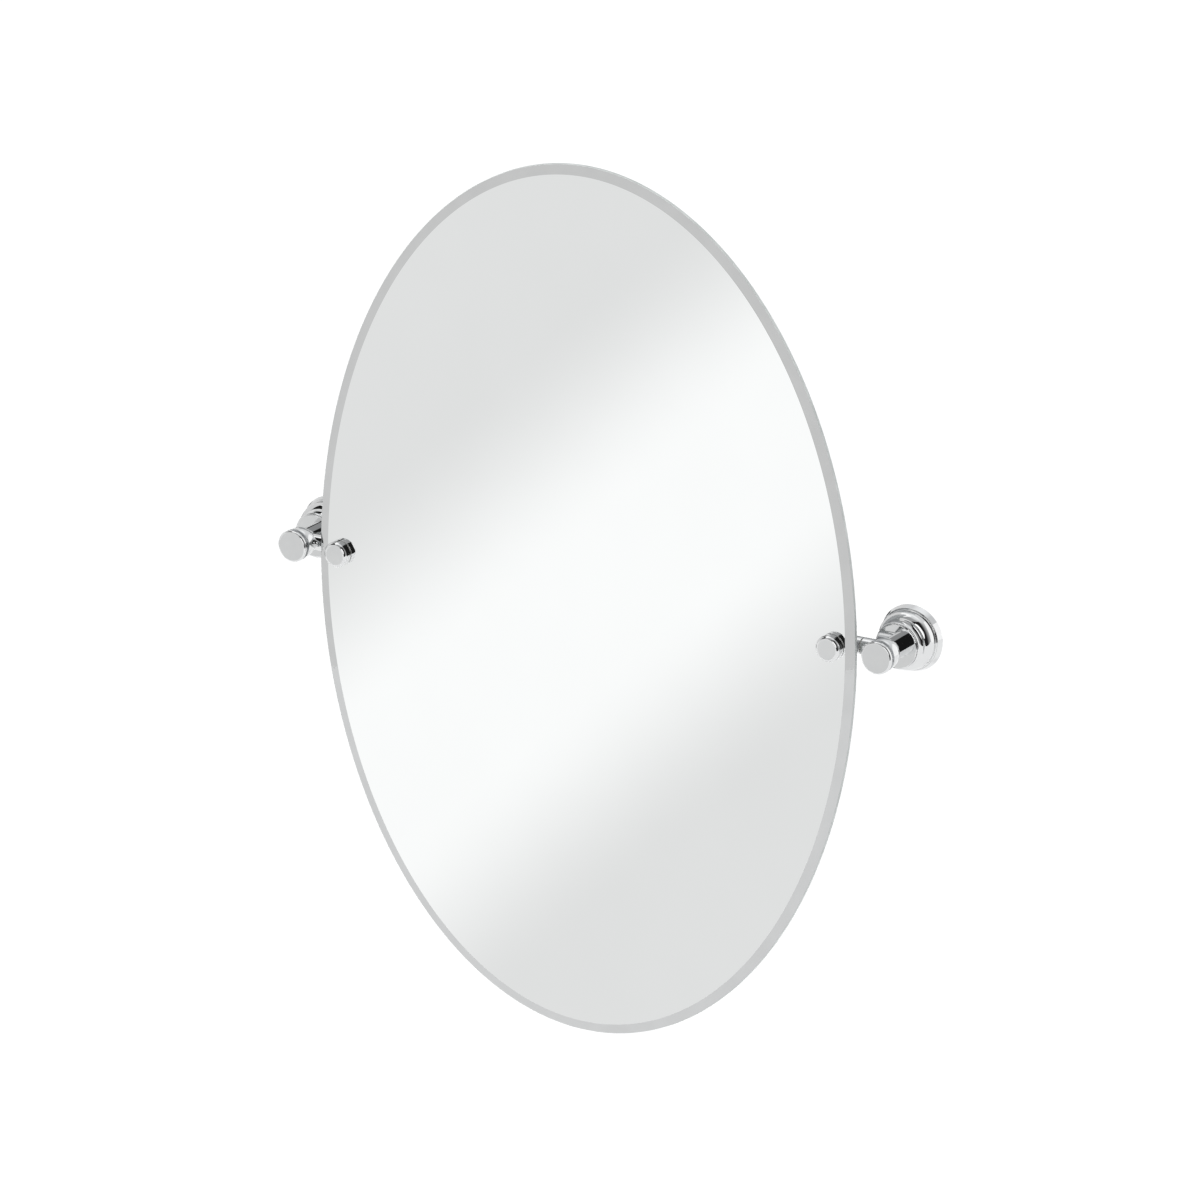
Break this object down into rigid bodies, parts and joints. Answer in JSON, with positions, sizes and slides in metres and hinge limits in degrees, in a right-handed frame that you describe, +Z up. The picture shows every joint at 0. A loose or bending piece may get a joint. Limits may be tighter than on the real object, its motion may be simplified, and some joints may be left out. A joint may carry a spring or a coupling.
{
  "type": "pivot wall mirror",
  "caption": "Frameless oval wall mirror with a bevelled rim that tilts about a level axis between chrome wall brackets with round rosettes and ball heads.",
  "frame": {"origin": "on the wall plane, midway between the two brackets, at the height of the tilt axis", "axes": "+Z up, +Y into the wall, so the mirror faces -Y; +X along the tilt axis towards the bracket named right"},
  "size_m": [0.7326, 0.1039, 0.889],
  "materials": {
    "mirror_glass": "polished clear float glass with a ground and polished bevel",
    "silvering": "silvered, with grey protective paint on the back",
    "chrome": "polished chrome plate on brass or zinc",
    "zinc_steel": "bright zinc plated",
    "nylon": "moulded, matt white",
    "rubber": "matt black"
  },
  "bodies": {
    "wall_brackets": {"left_mounting_plate": "zinc_steel", "left_upper_wall_screw": "zinc_steel", "left_lower_wall_screw": "zinc_steel", "left_rosette": "chrome", "left_rosette_set_screw": "zinc_steel", "left_hub_collar": "chrome", "left_tie_rod": "zinc_steel", "left_tie_rod_nut": "zinc_steel", "left_head": "chrome", "left_knurled_ring": "chrome", "left_end_cap": "chrome", "left_arm": "chrome", "left_pivot_pin": "zinc_steel", "left_pivot_washer": "nylon", "right_mounting_plate": "zinc_steel", "right_upper_wall_screw": "zinc_steel", "right_lower_wall_screw": "zinc_steel", "right_rosette": "chrome", "right_rosette_set_screw": "zinc_steel", "right_hub_collar": "chrome", "right_tie_rod": "zinc_steel", "right_tie_rod_nut": "zinc_steel", "right_head": "chrome", "right_knurled_ring": "chrome", "right_end_cap": "chrome", "right_arm": "chrome", "right_pivot_pin": "zinc_steel", "right_pivot_washer": "nylon"},
    "mirror": {"mirror_glass": "mirror_glass", "silver_backing": "silvering", "left_swivel_barrel": "chrome", "left_rear_pad": "rubber", "left_glass_bush": "nylon", "left_clamp_stud": "zinc_steel", "left_front_washer": "nylon", "left_clamp_cap": "chrome", "right_swivel_barrel": "chrome", "right_rear_pad": "rubber", "right_glass_bush": "nylon", "right_clamp_stud": "zinc_steel", "right_front_washer": "nylon", "right_clamp_cap": "chrome"}
  },
  "joints": [
    {"name": "mirror_tilt", "type": "hinge", "parent": "wall_brackets", "child": "mirror", "pos_m": [0, -0.046, 0], "axis": [1, 0, 0], "range_deg": [-6.5, 6.5]}
  ]
}
